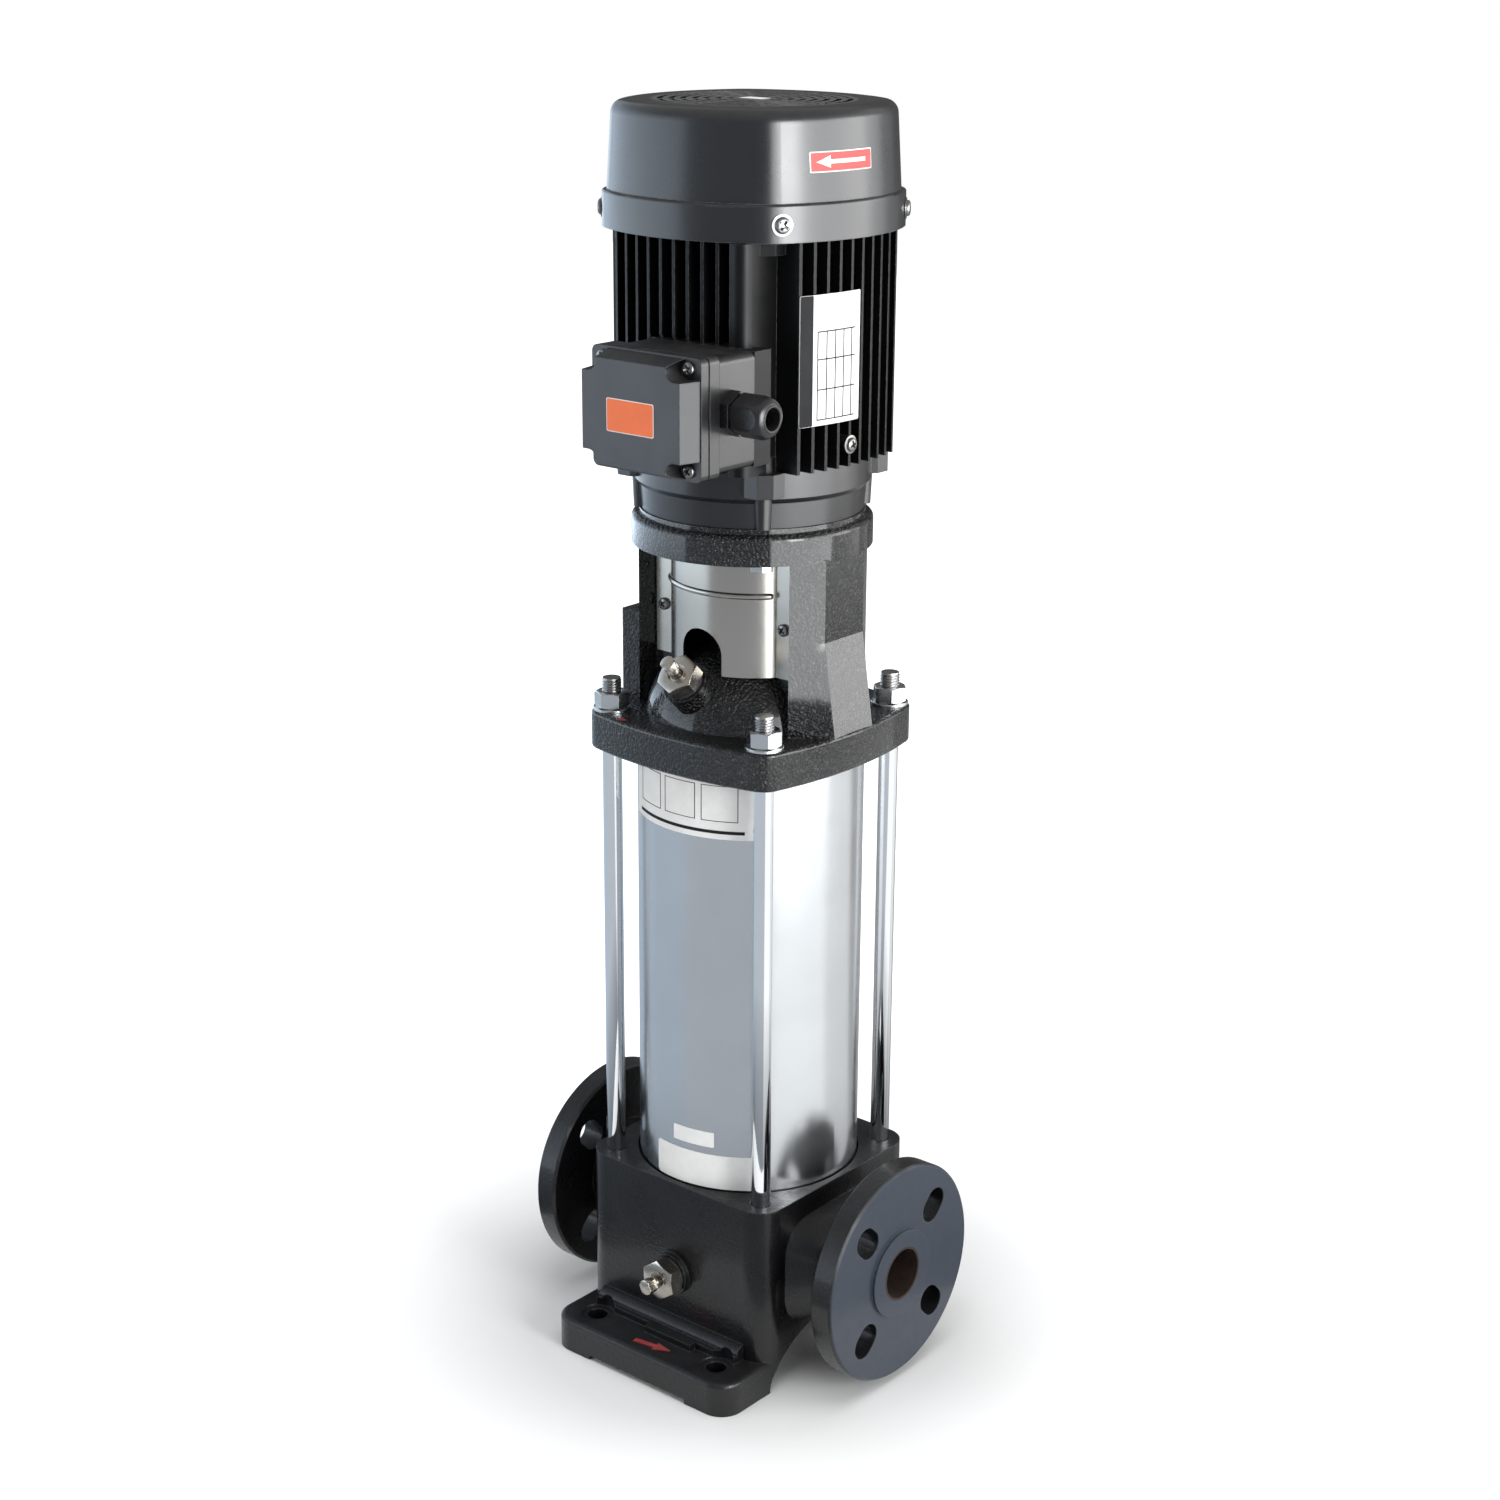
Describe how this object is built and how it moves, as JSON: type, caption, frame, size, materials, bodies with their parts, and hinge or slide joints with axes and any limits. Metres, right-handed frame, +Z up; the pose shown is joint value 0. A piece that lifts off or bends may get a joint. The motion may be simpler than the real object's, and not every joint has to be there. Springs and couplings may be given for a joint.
{
  "type": "vertical multistage pump",
  "caption": "Vertical multistage inline pump with slotted flanges, stay bolts, a cast motor stool with guards and a ribbed motor with terminal box.",
  "frame": {"origin": "middle of the four foot bolt holes, on the floor under the feet", "axes": "+Z up the shaft, +X out of the discharge port, -Y the front with the drain and vent plugs"},
  "size_m": [0.25, 0.244, 0.779],
  "materials": {
    "cast_iron": "satin",
    "motor_paint": "satin",
    "cover_paint": "gloss",
    "stainless": "satin",
    "chrome": "polished",
    "zinc": "satin",
    "nickel": "polished",
    "washer_rubber": "matte",
    "gland_plastic": "gloss",
    "fan_plastic": "matte",
    "steel": "satin",
    "copper": "satin",
    "seal_carbon": "matte"
  },
  "bodies": {
    "pump": {"base_casting": "cast_iron", "chamber_1": "stainless", "chamber_2": "stainless", "chamber_3": "stainless", "chamber_4": "stainless", "chamber_5": "stainless", "chamber_6": "stainless", "chamber_7": "stainless", "chamber_8": "stainless", "coupling_guard_front": "stainless", "coupling_guard_rear": "stainless", "discharge_chamber": "stainless", "drain_plug": "nickel", "drive_endshield": "motor_paint", "fan_cover": "cover_paint", "fan_cover_screws": "zinc", "fan_endshield": "motor_paint", "gland_body": "gland_plastic", "gland_nut": "gland_plastic", "gland_seal": "washer_rubber", "guard_screws": "stainless", "inlet_ring": "stainless", "lid_screws": "zinc", "motor_bearings": "steel", "motor_bolts": "zinc", "motor_frame": "motor_paint", "motor_stool": "cast_iron", "outer_sleeve": "stainless", "plug_washers": "washer_rubber", "seal_seat": "seal_carbon", "sleeve_o_rings": "washer_rubber", "stator_core": "steel", "stator_windings": "copper", "stay_bolt_nuts": "zinc", "stay_bolt_washers": "zinc", "stay_bolts": "chrome", "terminal_block": "fan_plastic", "terminal_box": "motor_paint", "terminal_gasket": "washer_rubber", "terminal_lid": "motor_paint", "tie_bolts": "zinc", "vent_plug": "nickel"},
    "rotor": {"pump_shaft": "stainless", "impeller_1": "stainless", "impeller_2": "stainless", "impeller_3": "stainless", "impeller_4": "stainless", "impeller_5": "stainless", "impeller_6": "stainless", "impeller_7": "stainless", "impeller_8": "stainless", "impeller_nut": "stainless", "seal_ring": "seal_carbon", "shaft_coupling": "steel", "coupling_screws": "zinc", "motor_shaft": "steel", "rotor_core": "steel", "cooling_fan": "fan_plastic"},
    "vent_screw": {"vent_spindle": "nickel"},
    "drain_screw": {"drain_spindle": "nickel"}
  },
  "joints": [
    {"name": "rotor_spin", "type": "hinge", "parent": "pump", "child": "rotor", "pos_m": [0, 0, 0.48], "axis": [0, 0, 1], "continuous": true},
    {"name": "vent_screw_turn", "type": "hinge", "parent": "pump", "child": "vent_screw", "pos_m": [0, -0.0615, 0.447], "axis": [0, -0.7071, 0.7071], "range_deg": [0, 720]},
    {"name": "drain_screw_turn", "type": "hinge", "parent": "pump", "child": "drain_screw", "pos_m": [0, -0.078, 0.062], "axis": [0, -1, 0], "range_deg": [0, 720]}
  ]
}
